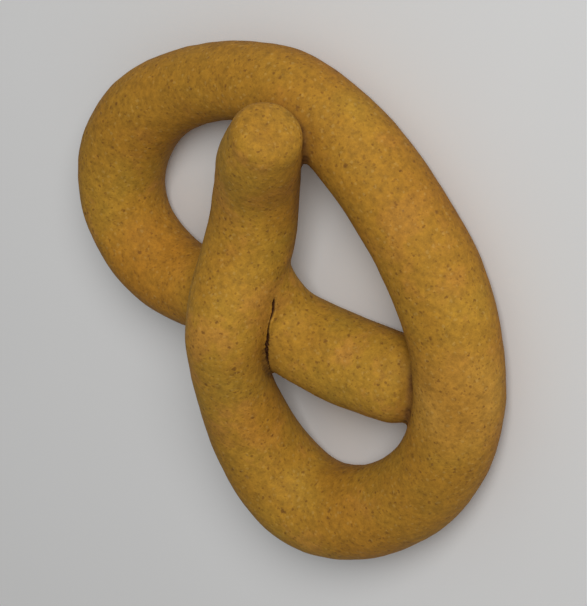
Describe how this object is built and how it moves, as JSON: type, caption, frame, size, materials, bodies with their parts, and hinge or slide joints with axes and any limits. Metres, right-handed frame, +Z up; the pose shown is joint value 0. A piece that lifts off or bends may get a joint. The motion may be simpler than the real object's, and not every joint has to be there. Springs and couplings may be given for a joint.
{
  "type": "pretzel",
  "caption": "Baked pretzel: a hand-rolled rope of dough in a loose knot, an end lying on top of the long arc and the other tucked against its inner side.",
  "frame": {"origin": "centre of the pretzel's outline, on the surface that it rests on", "axes": "+X along its width, +Y from the long arc towards the two lobes, +Z up"},
  "size_m": [0.0872, 0.0676, 0.025],
  "materials": {
    "baked_dough": "dull golden brown crust with fine dark bran specks"
  },
  "bodies": {
    "root": {"pretzel": "baked_dough"}
  },
  "joints": []
}
